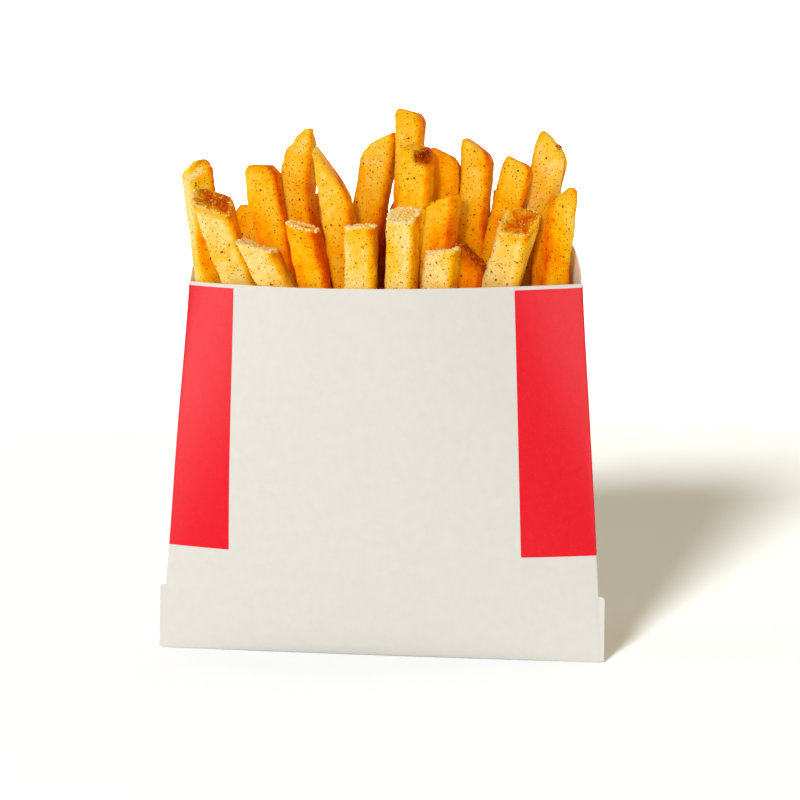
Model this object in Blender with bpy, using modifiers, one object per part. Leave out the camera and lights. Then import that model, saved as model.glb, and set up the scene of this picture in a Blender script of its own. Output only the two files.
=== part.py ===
"""French fries standing in a folded paperboard carton.

Units are metres, +Z is up and +X is to the right of someone who faces the front panel.
The origin is on the surface that the carton stands on, midway between its widest points.
"""

from math import atan2, cos, pi, radians, sin, sqrt, tan
from random import Random
from typing import NamedTuple

import bmesh
import bpy
from mathutils import Matrix, Vector

OBJECT_NAME = "french_fries_in_carton"

# The front panel is one sheet: straight along the base crease, bulged at the mouth,
# and pinched to the back panel along both side edges.
HALF_SHEET = 0.0625
FRONT_HEIGHT = 0.1017
BOARD = 0.0005
EDGE_LEAN = 0.0107
MOUTH_BULGE = 0.025
FRONT_ROUNDNESS = 1.91

# The back panel stands on a curved crease and rises above the front one in a soft arch.
BASE_DEPTH = 0.030
BACK_ROUNDNESS = 3.5
ARCH_RISE = 0.015
ARCH_SHOULDER = 12.0
ARCH_SOFTNESS = 1.4

# The folded ends of the base gusset show as a small tab outside each side edge.
TAB_HEIGHT = 0.0175
TAB_REACH = 0.0626
TAB_INNER_REACH = 0.0600
TAB_ROUND = 0.001
TAB_ROUND_STEPS = 3

# Columns crowd towards the side edges, and rows towards the base crease.
PANEL_COLUMNS = 28
PANEL_ROWS = 9
COLUMN_CROWDING = 1.3
ROW_CROWDING = 2.0
SAME_POINT = 1e-6
BOARD_COLOUR = (0.82, 0.79, 0.72)
BOARD_ROUGHNESS = 0.6

# The heap: a core inside the carton, and the fries that stand up out of it.
CLEARANCE = 0.0004
CORE_TOP = 0.094
CORE_BOTTOM = 0.002
CORE_END_ROOM = 0.005
CORE_COLUMNS = 13
CORE_ROWS = 6
FRY_FOOT = 0.080
STANDARD_WIDTH = 0.0088
CORNER_CHAMFER = 0.30
FRY_SIDES = 8
COLLAR_RISE = 0.001
CROWN_TAPER = 0.35
POTATO_COLOUR = (0.92, 0.50, 0.06)
POTATO_ROUGHNESS = 0.5

# How unevenly the fries are cut, how far apart their sides keep from the board, and the
# share of its excess that a point pressed against the board keeps, so no two points meet.
SEED = 41
WAVER = 0.00025
GIRTH_SPREAD = 0.05
LEAST_GAP = 0.0001
MOST_GAP = 0.0004
PRESSED = 0.1


class Fry(NamedTuple):
    """One fry: where it crosses the rim, how high its end is, and how that end is cut."""

    x: float
    y: float
    top: float
    lean: float = 0.0
    width: float = STANDARD_WIDTH
    slant: float = 0.0
    face: float = 0.0
    tilt: float = 0.0
    turn: float = 0.0
    bow: float = 0.0
    tip: float = 0.86
    crown: float = 0.0012


# Angles are in degrees. Lean is to the right, tilt is to the back, slant raises the right
# side of the cut end, face raises its far side, and turn is about the fry's own length.
FRONT_ROW = (
    Fry(-0.0268, -0.0117, 0.1125, lean=-27, width=0.0085, slant=-42, face=6),
    Fry(-0.0151, -0.0155, 0.1180, lean=-12, width=0.0084, slant=-27, face=3),
    Fry(-0.0014, -0.0190, 0.1182, width=0.0081, slant=2, face=2),
    Fry(0.0091, -0.0179, 0.1212, lean=2.4, width=0.0080, face=25),
    Fry(0.0191, -0.0144, 0.1117, lean=6, width=0.0086, slant=12, face=2),
    Fry(0.0341, -0.0059, 0.1189, lean=18, width=0.0097, slant=10, face=32, tilt=-8),
)
SECOND_ROW = (
    Fry(-0.0390, -0.0045, 0.1245, lean=-19, width=0.0093, slant=-38, face=30, tilt=-3),
    Fry(-0.0074, -0.0095, 0.1333, lean=-8, width=0.0084, slant=-62, turn=8),
    Fry(0.0104, -0.0098, 0.1387, lean=3, width=0.0083, slant=-8, face=10),
    Fry(0.0165, -0.0098, 0.1252, lean=7, width=0.0088, slant=26, turn=-8),
    Fry(0.0258, -0.0078, 0.1101, lean=6, width=0.0076, slant=-40),
)
THIRD_ROW = (
    Fry(-0.0354, -0.0010, 0.1229, lean=-7, width=0.0064, slant=-8),
    Fry(-0.0267, -0.0048, 0.1340, lean=-11, width=0.0094, slant=-13, turn=6),
    Fry(0.0298, 0.0010, 0.1347, lean=13, width=0.0082, slant=-14, tilt=4, turn=10),
    Fry(0.0464, 0.0000, 0.1253, lean=6, width=0.0082, slant=42, turn=38, tip=0.7),
)
FOURTH_ROW = (
    Fry(-0.0492, 0.0004, 0.1324, lean=-6.5, width=0.0077, slant=10, face=34, turn=36),
    Fry(
        -0.0165, -0.0015, 0.1436, lean=-7.5, width=0.0090, tilt=5, bow=-0.0046, tip=0.3, crown=0.005
    ),
    Fry(-0.0074, -0.0002, 0.1412, lean=11, width=0.0088, slant=36, tilt=2),
    Fry(0.0071, -0.0005, 0.1484, lean=1, width=0.0074, slant=-15, tilt=2),
    Fry(0.0174, -0.0010, 0.1370, width=0.0081, slant=-26, tilt=4),
    Fry(0.0237, 0.0020, 0.1388, lean=4, width=0.0081, slant=-33, tilt=2),
    Fry(0.0377, 0.0075, 0.1396, lean=13.5, width=0.0091, slant=-32, turn=-12, tilt=2),
)

# Behind these stand two more rows that follow the back panel, uneven in height: how far
# in from the board each row is, how far it reaches to either side, and its number of fries.
# Their tops fall and their lean grows with the distance from the middle. The rest are the
# limits within which each one differs from its neighbours.
REAR_ROWS = ((0.0140, 0.0285, 6), (0.0050, 0.0400, 8))
REAR_TOP = 0.1240
REAR_TOP_SPREAD = 0.0035
REAR_TOP_FALL = 5.0
REAR_FAN = 200.0
REAR_FAN_SPREAD = 5.0
REAR_STRAY = 0.001
REAR_THINNEST = 0.88
REAR_THICKEST = 1.05
REAR_SLANT = 35.0
REAR_LEAST_FACE = -25.0
REAR_MOST_FACE = 10.0
REAR_TILT = -3.0
REAR_TURN = 20.0


def clear_scene() -> None:
    for obj in list(bpy.data.objects):
        bpy.data.objects.remove(obj, do_unlink=True)


def material(name, colour, roughness):
    made = bpy.data.materials.new(name)
    made.use_nodes = True
    shader = made.node_tree.nodes["Principled BSDF"]
    shader.inputs["Base Color"].default_value = (*colour, 1.0)
    shader.inputs["Roughness"].default_value = roughness
    shader.inputs["Metallic"].default_value = 0.0
    return made


def add_object(name, bm, collection, surface=None):
    mesh = bpy.data.meshes.new(name)
    bm.to_mesh(mesh)
    bm.free()
    obj = bpy.data.objects.new(name, mesh)
    collection.objects.link(obj)
    if surface:
        mesh.materials.append(surface)
    return obj


def apply_modifiers(obj) -> None:
    graph = bpy.context.evaluated_depsgraph_get()
    mesh = bpy.data.meshes.new_from_object(obj.evaluated_get(graph))
    obj.modifiers.clear()
    obj.data = mesh


def rise(z: float) -> float:
    """How far up the front panel a height is, from 0 to 1."""
    return min(max(z / FRONT_HEIGHT, 0.0), 1.0)


def edge_y(z: float) -> float:
    """The y of the pinched side edges, which lean back as they rise."""
    return -EDGE_LEAN * (1.0 - rise(z))


def front_bulge(z: float) -> float:
    return MOUTH_BULGE * sqrt(rise(z))


def half_chord(z: float) -> float:
    """Half the width between the side edges: the sheet narrows where it bulges."""
    pull = FRONT_ROUNDNESS**2 / (2.0 * FRONT_ROUNDNESS - 1.0)
    return sqrt(HALF_SHEET**2 - pull * front_bulge(z) ** 2)


def back_bulge(z: float) -> float:
    return BASE_DEPTH + (MOUTH_BULGE - BASE_DEPTH) * rise(z)


def wall_y(back: bool, across: float, z: float) -> float:
    """The y of a panel's outer face, where across runs from -1 to 1 between the edges."""
    share = min(abs(across), 1.0)
    if back:
        return edge_y(z) + back_bulge(z) * (1.0 - share**BACK_ROUNDNESS)
    return edge_y(z) - front_bulge(z) * (1.0 - share**FRONT_ROUNDNESS)


def panel_top(back: bool, across: float) -> float:
    if not back:
        return FRONT_HEIGHT
    arch = (1.0 - min(abs(across), 1.0) ** ARCH_SHOULDER) ** (1.0 / ARCH_SOFTNESS)
    return FRONT_HEIGHT + ARCH_RISE * arch


def inner_y(back: bool, x: float, z: float, gap: float) -> float:
    """The y that keeps a gap from the inner face of a panel."""
    half = half_chord(z)
    share = min(abs(x) / half, 1.0)
    power = BACK_ROUNDNESS if back else FRONT_ROUNDNESS
    bulge = back_bulge(z) if back else front_bulge(z)
    slope = bulge * power * share ** (power - 1.0) / half
    offset = (BOARD + gap) * sqrt(1.0 + slope**2)
    return wall_y(back, share, z) + (-offset if back else offset)


def bend_panel(bm, back: bool) -> None:
    """Adds one panel: a flat grid that takes the panel's curve and its top edge."""
    grid = bmesh.ops.create_grid(
        bm, x_segments=PANEL_COLUMNS, y_segments=PANEL_ROWS, size=1.0
    )
    for vert in grid["verts"]:
        across = sin(vert.co.x * COLUMN_CROWDING) / sin(COLUMN_CROWDING)
        up = ((vert.co.y + 1.0) / 2.0) ** ROW_CROWDING
        z = up * panel_top(back, across)
        x = across * half_chord(z)
        vert.co = Vector((x, wall_y(back, across, z), z))


def tab_outline(side: float):
    """A gusset end as a flat outline with its outer top corner rounded."""
    points = [(TAB_INNER_REACH, BOARD), (TAB_REACH, BOARD)]
    for step in range(TAB_ROUND_STEPS + 1):
        angle = step / TAB_ROUND_STEPS * pi / 2.0
        points.append(
            (
                TAB_REACH - TAB_ROUND + TAB_ROUND * cos(angle),
                TAB_HEIGHT - TAB_ROUND + TAB_ROUND * sin(angle),
            )
        )
    points.append((TAB_INNER_REACH, TAB_HEIGHT))
    return [Vector((side * x, 0.0, z)) for x, z in points]


def build_tab(side: float, collection):
    """A gusset end stands in the seam, so it leans back with the side edge."""
    bm = bmesh.new()
    face = bm.faces.new([bm.verts.new(point) for point in tab_outline(side)])
    made = bmesh.ops.extrude_face_region(bm, geom=[face])
    for item in made["geom"]:
        if isinstance(item, bmesh.types.BMVert):
            item.co.y += BOARD
    for vert in bm.verts:
        vert.co.y += edge_y(vert.co.z) + BOARD / 2.0
    bmesh.ops.recalc_face_normals(bm, faces=bm.faces[:])
    return add_object("gusset_tab", bm, collection)


def build_carton(collection, surface):
    bm = bmesh.new()
    bend_panel(bm, back=False)
    bend_panel(bm, back=True)
    bmesh.ops.remove_doubles(bm, verts=bm.verts[:], dist=SAME_POINT)
    crease = [e for e in bm.edges if e.is_boundary and all(v.co.z < SAME_POINT for v in e.verts)]
    bmesh.ops.edgeloop_fill(bm, edges=crease)
    bmesh.ops.recalc_face_normals(bm, faces=bm.faces[:])
    carton = add_object("carton", bm, collection, surface)
    board = carton.modifiers.new("board", "SOLIDIFY")
    board.thickness = BOARD
    board.offset = -1.0
    board.use_even_offset = True
    board.use_quality_normals = True
    apply_modifiers(carton)
    tabs = bpy.data.collections.new("gusset_tabs")
    collection.children.link(tabs)
    for side in (-1.0, 1.0):
        build_tab(side, tabs)
    join(carton, tabs)
    return carton


def join(obj, pieces) -> None:
    """Joins a collection's pieces to the object, keeps the one outer skin, and drops the rest."""
    union = obj.modifiers.new("join", "BOOLEAN")
    union.operation = "UNION"
    union.operand_type = "COLLECTION"
    union.collection = pieces
    union.solver = "EXACT"
    apply_modifiers(obj)
    for piece in list(pieces.objects):
        bpy.data.objects.remove(piece, do_unlink=True)
    bpy.data.collections.remove(pieces)
    keep_outer_skin(obj)


def keep_outer_skin(obj) -> None:
    """Removes sealed hollows and loose scraps, which are separate shells of the mesh."""
    bm = bmesh.new()
    bm.from_mesh(obj.data)
    bmesh.ops.triangulate(bm, faces=bm.faces[:])
    shells = []
    unseen = set(bm.faces)
    while unseen:
        shell = []
        edge = [unseen.pop()]
        while edge:
            face = edge.pop()
            shell.append(face)
            near = {other for e in face.edges for other in e.link_faces} & unseen
            unseen -= near
            edge.extend(near)
        shells.append(shell)
    shells.sort(key=len)
    loose = [face for shell in shells[:-1] for face in shell]
    bmesh.ops.delete(bm, geom=loose, context="FACES")
    bm.to_mesh(obj.data)
    bm.free()


def length_along(edge, axis: str) -> float:
    start, end = (getattr(vert.co, axis) for vert in edge.verts)
    return abs(end - start)


def build_core(collection, surface):
    """The part of the heap that the carton hides, as a block that fills its inside."""
    bm = bmesh.new()
    bmesh.ops.create_cube(bm, size=2.0)
    for axis, cells in (("x", CORE_COLUMNS), ("z", CORE_ROWS)):
        rails = [e for e in bm.edges if length_along(e, axis) > 1.0]
        bmesh.ops.subdivide_edges(bm, edges=rails, cuts=cells, use_grid_fill=True)
    for vert in bm.verts:
        up = (vert.co.z + 1.0) / 2.0
        z = CORE_BOTTOM + (CORE_TOP - CORE_BOTTOM) * up
        x = sin(vert.co.x * pi / 2.0) * (half_chord(z) - CORE_END_ROOM)
        vert.co = Vector((x, inner_y(vert.co.y > 0.0, x, z, CLEARANCE), z))
    bmesh.ops.recalc_face_normals(bm, faces=bm.faces[:])
    return add_object("fries", bm, collection, surface)


def section(angle: float):
    """A square with chamfered corners, as a direction's point on its outline."""
    short = 1.0 - CORNER_CHAMFER
    wide = abs(cos(angle)) > abs(sin(angle))
    x, y = (1.0, short) if wide else (short, 1.0)
    return (x if cos(angle) > 0.0 else -x), (y if sin(angle) > 0.0 else -y)


def fold_in(value: float, low: float, high: float) -> float:
    """A value past a limit comes back just inside it, by a small share of its excess."""
    if value < low:
        return low + PRESSED * (low - value)
    if value > high:
        return high - PRESSED * (value - high)
    return value


def keep_inside(point, below_rim: bool, gap: float):
    """Keeps a point in front of the back panel and, below the rim, inside the carton."""
    z = min(point.z, FRONT_HEIGHT)
    limit = half_chord(z) - 2.0 * BOARD - gap
    x = fold_in(point.x, -limit, limit)
    back = inner_y(True, x, z, gap)
    front = inner_y(False, x, z, gap) if below_rim else -HALF_SHEET
    if below_rim:
        point.x = x
    point.y = fold_in(point.y, min(front, back), back)
    return point


def build_fry(fry: Fry, chance: Random, collection):
    """A cut bar, from its foot in the core to its end, leaning as it stands."""
    frame = (
        Matrix.Rotation(radians(fry.lean), 3, "Y")
        @ Matrix.Rotation(-radians(fry.tilt), 3, "X")
    )
    axis = frame @ Vector((0.0, 0.0, 1.0))
    gap = CLEARANCE + chance.uniform(LEAST_GAP, MOST_GAP)
    rim = Vector((fry.x, fry.y, FRONT_HEIGHT))
    foot = (FRY_FOOT - FRONT_HEIGHT) / axis.z
    collar = (COLLAR_RISE + fry.width / 2.0 * abs(axis.x)) / axis.z
    end = (fry.top - FRONT_HEIGHT) / axis.z
    middle = (collar + end) / 2.0
    crown = end - fry.crown
    levels = (foot, foot / 2.0, collar, middle, crown, end)
    collar_ring = levels.index(collar)
    bm = bmesh.new()
    bmesh.ops.create_cone(
        bm, cap_ends=True, segments=FRY_SIDES, radius1=1.0, radius2=1.0, depth=1.0
    )
    rails = [e for e in bm.edges if length_along(e, "z") > 0.5]
    bmesh.ops.subdivide_edges(bm, edges=rails, cuts=len(levels) - 2)
    turned = Matrix.Rotation(radians(fry.turn), 2)
    girth = [1.0 + chance.uniform(-GIRTH_SPREAD, GIRTH_SPREAD) for _ in levels]
    girth[-2] *= 1.0 - CROWN_TAPER * (1.0 - fry.tip)
    girth[-1] *= fry.tip
    for vert in bm.verts:
        ring = round((vert.co.z + 0.5) * (len(levels) - 1))
        angle = atan2(vert.co.y, vert.co.x) + pi / FRY_SIDES
        flat = turned @ Vector(section(angle)) * (fry.width / 2.0 * girth[ring])
        along = levels[ring]
        if ring > collar_ring:
            share = (along - collar) / (end - collar)
            along += share * (flat.x * tan(radians(fry.slant)) + flat.y * tan(radians(fry.face)))
            flat.x += fry.bow * sin(pi * share)
        flat.x += chance.uniform(-WAVER, WAVER)
        flat.y += chance.uniform(-WAVER, WAVER)
        point = rim + frame @ Vector((flat.x, flat.y, along))
        vert.co = keep_inside(point, ring <= collar_ring, gap)
    bmesh.ops.recalc_face_normals(bm, faces=bm.faces[:])
    return add_object("fry", bm, collection)


def rear_fries(chance: Random):
    """The rows behind, which fan out towards the ends as they rise."""
    fries = []
    for inset, reach, count in REAR_ROWS:
        for place in range(count):
            x = reach * (2.0 * place / (count - 1) - 1.0)
            x += chance.uniform(-REAR_STRAY, REAR_STRAY)
            top = REAR_TOP - REAR_TOP_FALL * x**2
            fries.append(
                Fry(
                    x,
                    inner_y(True, x, FRONT_HEIGHT, inset) + chance.uniform(-REAR_STRAY, 0.0),
                    top + chance.uniform(-REAR_TOP_SPREAD, REAR_TOP_SPREAD),
                    lean=REAR_FAN * x + chance.uniform(-REAR_FAN_SPREAD, REAR_FAN_SPREAD),
                    width=STANDARD_WIDTH * chance.uniform(REAR_THINNEST, REAR_THICKEST),
                    slant=chance.uniform(-REAR_SLANT, REAR_SLANT),
                    face=chance.uniform(REAR_LEAST_FACE, REAR_MOST_FACE),
                    tilt=chance.uniform(REAR_TILT, 0.0),
                    turn=chance.uniform(-REAR_TURN, REAR_TURN),
                )
            )
    return fries


def build_fries(collection, surface):
    chance = Random(SEED)
    core = build_core(collection, surface)
    standing = bpy.data.collections.new("standing_fries")
    collection.children.link(standing)
    rows = FRONT_ROW + SECOND_ROW + THIRD_ROW + FOURTH_ROW
    for fry in (*rows, *rear_fries(chance)):
        build_fry(fry, chance, standing)
    join(core, standing)
    return core


def main() -> None:
    clear_scene()
    collection = bpy.data.collections.new(OBJECT_NAME)
    bpy.context.scene.collection.children.link(collection)
    build_carton(collection, material("white_paperboard", BOARD_COLOUR, BOARD_ROUGHNESS))
    build_fries(collection, material("fried_potato", POTATO_COLOUR, POTATO_ROUGHNESS))


main()
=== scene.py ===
"""French fries in a folded paperboard carton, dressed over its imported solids.

Units are metres, +Z is up and the front panel looks along -Y. The sizes of the carton and of
the standing fries are those of the solids, so each dressed piece stays where its solid is.
"""

import logging
from dataclasses import dataclass, field
from enum import Enum
from math import cos, pi, radians, sin, tan
from random import Random

import bmesh
import bpy
import numpy as np
from mathutils import Matrix, Vector

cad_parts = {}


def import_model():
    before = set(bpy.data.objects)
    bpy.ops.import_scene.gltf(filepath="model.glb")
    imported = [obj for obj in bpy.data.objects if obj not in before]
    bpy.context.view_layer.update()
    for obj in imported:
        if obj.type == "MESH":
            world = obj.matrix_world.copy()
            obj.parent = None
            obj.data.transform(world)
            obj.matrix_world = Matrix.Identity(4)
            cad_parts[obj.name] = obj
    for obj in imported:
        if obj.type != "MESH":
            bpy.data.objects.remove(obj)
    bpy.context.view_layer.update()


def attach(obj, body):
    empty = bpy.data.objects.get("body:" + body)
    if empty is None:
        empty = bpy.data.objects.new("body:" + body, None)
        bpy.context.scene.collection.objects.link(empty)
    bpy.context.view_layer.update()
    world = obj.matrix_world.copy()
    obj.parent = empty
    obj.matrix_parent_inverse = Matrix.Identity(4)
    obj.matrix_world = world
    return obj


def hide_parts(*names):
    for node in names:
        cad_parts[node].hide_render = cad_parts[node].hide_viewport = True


log = logging.getLogger("fries_in_carton")
MM = 0.001


# A single value, or one for each point.
Reals = float | np.ndarray
# A seeded source of random numbers.
Chance = np.random.Generator
# The end of a node that gives or takes a value.
Socket = bpy.types.NodeSocket


def linear(code: str) -> tuple[float, float, float, float]:
    """Turns an sRGB hex colour to linear light.

    Args:
        code: six hex digits after a hash sign.

    Returns:
        Red, green, blue and alpha for a shader socket.
    """
    channels = [int(code[at : at + 2], 16) / 255.0 for at in (1, 3, 5)]
    bent = [c / 12.92 if c <= 0.04045 else ((c + 0.055) / 1.055) ** 2.4 for c in channels]
    return (bent[0], bent[1], bent[2], 1.0)


def repeats(spacing: float) -> float:
    """The scale of a texture whose pattern repeats at a spacing in millimetres."""
    return 1.0 / (spacing * MM)


def feed(node: bpy.types.Node, inputs: dict) -> None:
    """Gives sockets their values, or links them to the outputs that feed them.

    Args:
        node: the node.
        inputs: socket name or index to a value, or to the output that feeds it.
    """
    for key, value in inputs.items():
        if isinstance(value, Socket):
            node.id_data.links.new(value, node.inputs[key])
        else:
            node.inputs[key].default_value = value


def add_node(tree: bpy.types.NodeTree, kind: str, inputs: dict, **settings) -> bpy.types.Node:
    """Adds one node with its settings, its socket values and its links.

    Args:
        tree: the material's or the world's node tree.
        kind: Blender's name of the node type, without the words that all of them start with.
        inputs: socket name or index to a value, or to the output that feeds it.
        settings: properties of the node itself; stops gives a ramp's places and colours.

    Returns:
        The new node.
    """
    node = tree.nodes.new("ShaderNode" + kind)
    stops = settings.pop("stops", None)
    for name, value in settings.items():
        setattr(node, name, value)
    if stops:
        band = node.color_ramp.elements
        while len(band) < len(stops):
            band.new(0.5)
        for element, (place, code) in zip(band, sorted(stops.items()), strict=True):
            element.position = place
            element.color = linear(code)
    feed(node, inputs)
    return node


def start_finish(name: str) -> tuple[bpy.types.Material, bpy.types.NodeTree, bpy.types.Node, Socket]:
    """Starts the material of one finish.

    Args:
        name: the finish's name.

    Returns:
        The material, its node tree, its main shader, and the output that gives the place.
    """
    made = bpy.data.materials.new(name)
    made.use_nodes = True
    tree = made.node_tree
    place = add_node(tree, "TexCoord", {}).outputs["Object"]
    return made, tree, tree.nodes["Principled BSDF"], place


# Sockets of the Mix node when it mixes colours.
FACTOR, FIRST, SECOND, MIXED = 0, 6, 7, 2


@dataclass(frozen=True)
class Boxboard:
    """Folding boxboard as one finish: clay-coated white, its printed face, or its bare inside.

    Pressed fibres lie unevenly, so the board is faintly cloudy and has a fine grain. Real fibres
    are finer than this grain, which is drawn as coarse as it needs to be to show.
    """

    name: str
    pale: str
    warm: str
    roughness: float
    gloss: float = 0.4
    cloud_mm: float = 4.0
    fibre_mm: float = 0.4
    fibre_depth_mm: float = 0.02
    pinhole: str = ""
    pinhole_size: float = 0.14
    pinhole_mm: float = 0.9

    def material(self) -> bpy.types.Material:
        """Builds the cloudy formation of the board and its fibre grain.

        Returns:
            The material.
        """
        made, tree, shader, place = start_finish(self.name)
        cloud = add_node(
            tree,
            "TexNoise",
            {"Vector": place, "Scale": repeats(self.cloud_mm), "Detail": 5.0, "Roughness": 0.65},
        ).outputs["Fac"]
        tint = add_node(tree, "ValToRGB", {"Fac": cloud}, stops={0.32: self.warm, 0.68: self.pale})
        colour = tint.outputs["Color"]
        if self.pinhole:
            colour = self.pierce(tree, place, colour)
        grain = add_node(
            tree, "TexNoise", {"Vector": place, "Scale": repeats(self.fibre_mm), "Detail": 3.0}
        ).outputs["Fac"]
        depth = self.fibre_depth_mm * MM
        bump = add_node(tree, "Bump", {"Height": grain, "Strength": 0.5, "Distance": depth})
        feed(
            shader,
            {
                "Base Color": colour,
                "Normal": bump.outputs["Normal"],
                "Roughness": self.roughness,
                "Specular IOR Level": self.gloss,
            },
        )
        return made

    def pierce(self, tree: bpy.types.NodeTree, place: Socket, colour: Socket) -> Socket:
        """Leaves pinholes in the print, as ink misses the low spots of the board.

        Args:
            tree: the node tree.
            place: the output that gives coordinates.
            colour: the output that gives the ink's colour.

        Returns:
            The output with pale dots about 0.2 mm across.
        """
        cell = add_node(tree, "TexVoronoi", {"Vector": place, "Scale": repeats(self.pinhole_mm)})
        edge = {"From Min": self.pinhole_size * 0.5, "From Max": self.pinhole_size}
        share = {"Value": cell.outputs["Distance"], "To Min": 0.4, "To Max": 0.0}
        hole = add_node(tree, "MapRange", edge | share).outputs["Result"]
        mixed = {FACTOR: hole, FIRST: colour, SECOND: linear(self.pinhole)}
        return add_node(tree, "Mix", mixed, data_type="RGBA").outputs[MIXED]


@dataclass(frozen=True)
class FriedPotato:
    """Potato fried in oil: pale starchy faces, golden skin, toasted edges, and fine brown specks.

    The crust is thin and oily over a moist white inside, so light enters it a millimetre or two
    and the gaps between fries glow orange.
    """

    name: str = "fried_potato_crust"
    roughness: float = 0.58
    blotch_mm: float = 2.8
    blister_mm: float = 0.9
    blister_depth_mm: float = 0.22
    light_reach_mm: float = 2.0
    # Fine seasoning, specks and flecks: spacing in mm, reach and share as in dots, and colour.
    speckles: tuple = (
        (0.62, 0.33, 0.62, "#EC8408"),
        (0.95, 0.28, 0.68, "#B83E02"),
        (2.3, 0.18, 0.66, "#9A1C00"),
    )

    def dots(
        self, tree: bpy.types.NodeTree, place: Socket, spacing: float, size: float, share: float
    ) -> Socket:
        """Scatters dots of one kind of spice or char over the crust.

        Args:
            tree: the node tree.
            place: the output that gives coordinates.
            spacing: distance between dots in millimetres.
            size: a dot's reach as a share of the spacing.
            share: how many of the places hold a dot, from 0 to 1.

        Returns:
            The output that is 1 on a dot and 0 off it.
        """
        cell = add_node(tree, "TexVoronoi", {"Vector": place, "Scale": repeats(spacing)})
        edge = {"From Min": size * 0.45, "From Max": size, "To Min": 1.0, "To Max": 0.0}
        body = add_node(tree, "MapRange", {"Value": cell.outputs["Distance"]} | edge)
        pick = add_node(tree, "SeparateColor", {"Color": cell.outputs["Color"]})
        chosen = add_node(tree, "Math", {0: pick.outputs[0], 1: share}, operation="LESS_THAN")
        both = {0: body.outputs["Result"], 1: chosen.outputs[0]}
        return add_node(tree, "Math", both, operation="MULTIPLY").outputs[0]

    def skin(self, tree: bpy.types.NodeTree, place: Socket) -> Socket:
        """Colours the crust from the shades that each point of a fry carries.

        Args:
            tree: the node tree.
            place: the output that gives coordinates.

        Returns:
            The output that gives the crust's colour under its specks.
        """
        tone, toast = (
            add_node(tree, "Attribute", {}, attribute_name=name).outputs["Fac"]
            for name in ("tone", "toast")
        )
        blotch = add_node(
            tree,
            "TexNoise",
            {"Vector": place, "Scale": repeats(self.blotch_mm), "Detail": 6.0, "Roughness": 0.62},
        ).outputs["Fac"]
        uneven = add_node(
            tree,
            "MapRange",
            {"Value": blotch, "From Min": 0.25, "From Max": 0.75, "To Min": -0.18, "To Max": 0.20},
        )
        shade = add_node(tree, "Math", {0: tone, 1: uneven.outputs["Result"]}, operation="ADD")
        golden = add_node(
            tree,
            "ValToRGB",
            {"Fac": shade.outputs[0]},
            stops={0.0: "#FFDF8C", 0.28: "#FFC93A", 0.52: "#FFB606", 0.76: "#F88C00", 1.0: "#DE5600"},
        )
        browned = add_node(
            tree, "ValToRGB", {"Fac": blotch}, stops={0.3: "#5A0C00", 0.5: "#9A3000", 0.7: "#E68810"}
        )
        mixed = {FACTOR: toast, FIRST: golden.outputs["Color"], SECOND: browned.outputs["Color"]}
        return add_node(tree, "Mix", mixed, data_type="RGBA").outputs[MIXED]

    def material(self) -> bpy.types.Material:
        """Builds the crust: its skin, the specks on it, its blisters and its glow.

        Returns:
            The material.
        """
        made, tree, shader, place = start_finish(self.name)
        colour = self.skin(tree, place)
        for *spread, code in self.speckles:
            dot = self.dots(tree, place, *spread)
            mixed = {FACTOR: dot, FIRST: colour, SECOND: linear(code)}
            colour = add_node(tree, "Mix", mixed, data_type="RGBA").outputs[MIXED]
        blister = add_node(
            tree,
            "TexNoise",
            {"Vector": place, "Scale": repeats(self.blister_mm), "Detail": 4.0, "Roughness": 0.6},
        ).outputs["Fac"]
        depth = self.blister_depth_mm * MM
        bump = add_node(tree, "Bump", {"Height": blister, "Strength": 0.7, "Distance": depth})
        feed(
            shader,
            {
                "Base Color": colour,
                "Normal": bump.outputs["Normal"],
                "Roughness": self.roughness,
                "IOR": 1.45,
                "Specular IOR Level": 0.04,
                "Specular Tint": linear("#FFD79A"),
                "Subsurface Weight": 0.4,
                "Subsurface Radius": (1.0, 0.42, 0.08),
                "Subsurface Scale": self.light_reach_mm * MM,
            },
        )
        return made


@dataclass(frozen=True)
class Grain:
    """Crumbs of crust and ground spice: matt grains whose shade each point carries."""

    name: str = "fried_crumb_and_spice"
    cloud_mm: float = 0.5
    stops: tuple = ((0.0, "#FFEAB4"), (0.35, "#FFC544"), (0.7, "#DC7A08"), (1.0, "#B43A06"))

    def material(self) -> bpy.types.Material:
        """Builds the grain's colour from its shade.

        Returns:
            The material.
        """
        made, tree, shader, place = start_finish(self.name)
        shade = add_node(tree, "Attribute", {}, attribute_name="tone").outputs["Fac"]
        noise = add_node(tree, "TexNoise", {"Vector": place, "Scale": repeats(self.cloud_mm)})
        unevenness = {"Value": noise.outputs["Fac"], "To Min": -0.2, "To Max": 0.2}
        uneven = add_node(tree, "MapRange", unevenness).outputs["Result"]
        tone = add_node(tree, "Math", {0: shade, 1: uneven}, operation="ADD").outputs[0]
        colour = add_node(tree, "ValToRGB", {"Fac": tone}, stops=dict(self.stops)).outputs["Color"]
        feed(shader, {"Base Color": colour, "Roughness": 0.6, "Specular IOR Level": 0.2})
        return made


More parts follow.
